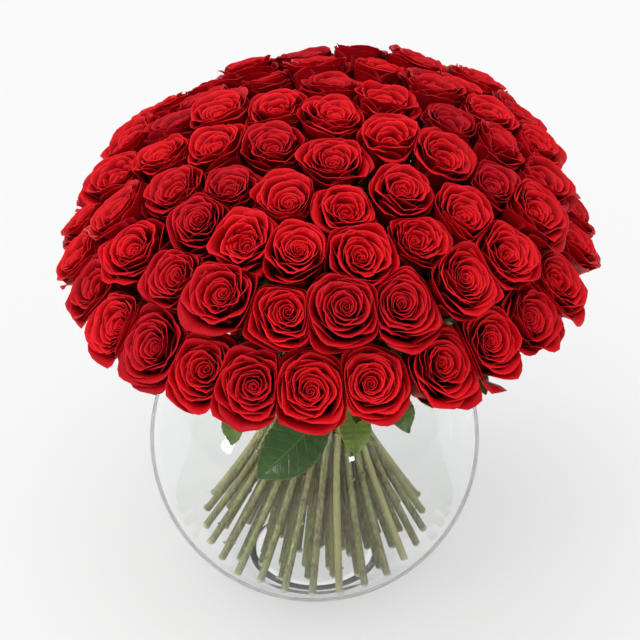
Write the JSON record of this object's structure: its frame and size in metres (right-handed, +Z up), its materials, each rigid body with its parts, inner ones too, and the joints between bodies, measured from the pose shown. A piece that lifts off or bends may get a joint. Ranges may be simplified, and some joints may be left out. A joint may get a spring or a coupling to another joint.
{
  "type": "roses in a vase",
  "caption": "Dense hand-tied dome of deep red roses on spiralled green stems, standing in a round clear glass bowl vase without water.",
  "frame": {"origin": "centre of the bowl's flat underside", "axes": "+Z up along the bowl's axis, -Y towards the side with the large hanging leaf"},
  "size_m": [0.4543, 0.4493, 0.4873],
  "materials": {
    "glass": "clear, polished",
    "petals": "velvety matt",
    "stems": "smooth, satin",
    "leaves": "waxy satin",
    "twine": "rough natural fibre"
  },
  "bodies": {
    "root": {"glass_bowl": "glass", "binding_twine": "twine", "rose_crown": "petals", "roses_row1_pair01": "petals", "roses_row1_pair02": "petals", "roses_row1_pair03": "petals", "roses_row2_pair01": "petals", "roses_row2_pair02": "petals", "roses_row2_pair03": "petals", "roses_row2_pair04": "petals", "roses_row2_pair05": "petals", "roses_row2_pair06": "petals", "roses_row3_pair01": "petals", "roses_row3_pair02": "petals", "roses_row3_pair03": "petals", "roses_row3_pair04": "petals", "roses_row3_pair05": "petals", "roses_row3_pair06": "petals", "roses_row3_pair07": "petals", "roses_row3_pair08": "petals", "roses_row3_pair09": "petals", "roses_row4_pair01": "petals", "roses_row4_pair02": "petals", "roses_row4_pair03": "petals", "roses_row4_pair04": "petals", "roses_row4_pair05": "petals", "roses_row4_pair06": "petals", "roses_row4_pair07": "petals", "roses_row4_pair08": "petals", "roses_row4_pair09": "petals", "roses_row4_pair10": "petals", "roses_row4_pair11": "petals", "roses_row5_pair01": "petals", "roses_row5_pair02": "petals", "roses_row5_pair03": "petals", "roses_row5_pair04": "petals", "roses_row5_pair05": "petals", "roses_row5_pair06": "petals", "roses_row5_pair07": "petals", "roses_row5_pair08": "petals", "roses_row5_pair09": "petals", "roses_row5_pair10": "petals", "roses_row5_pair11": "petals", "roses_row5_pair12": "petals", "roses_row5_pair13": "petals", "stem_crown": "stems", "stems_row1": "stems", "stems_row2": "stems", "stems_row3": "stems", "stems_row4": "stems", "stems_row5": "stems", "leaf_front_large": "leaves", "leaf_front_pale": "leaves", "leaf_front_right": "leaves", "leaf_right": "leaves", "leaf_front_left": "leaves", "leaf_left": "leaves", "leaf_back_left": "leaves", "leaf_back": "leaves", "leaf_back_right": "leaves"}
  },
  "joints": []
}
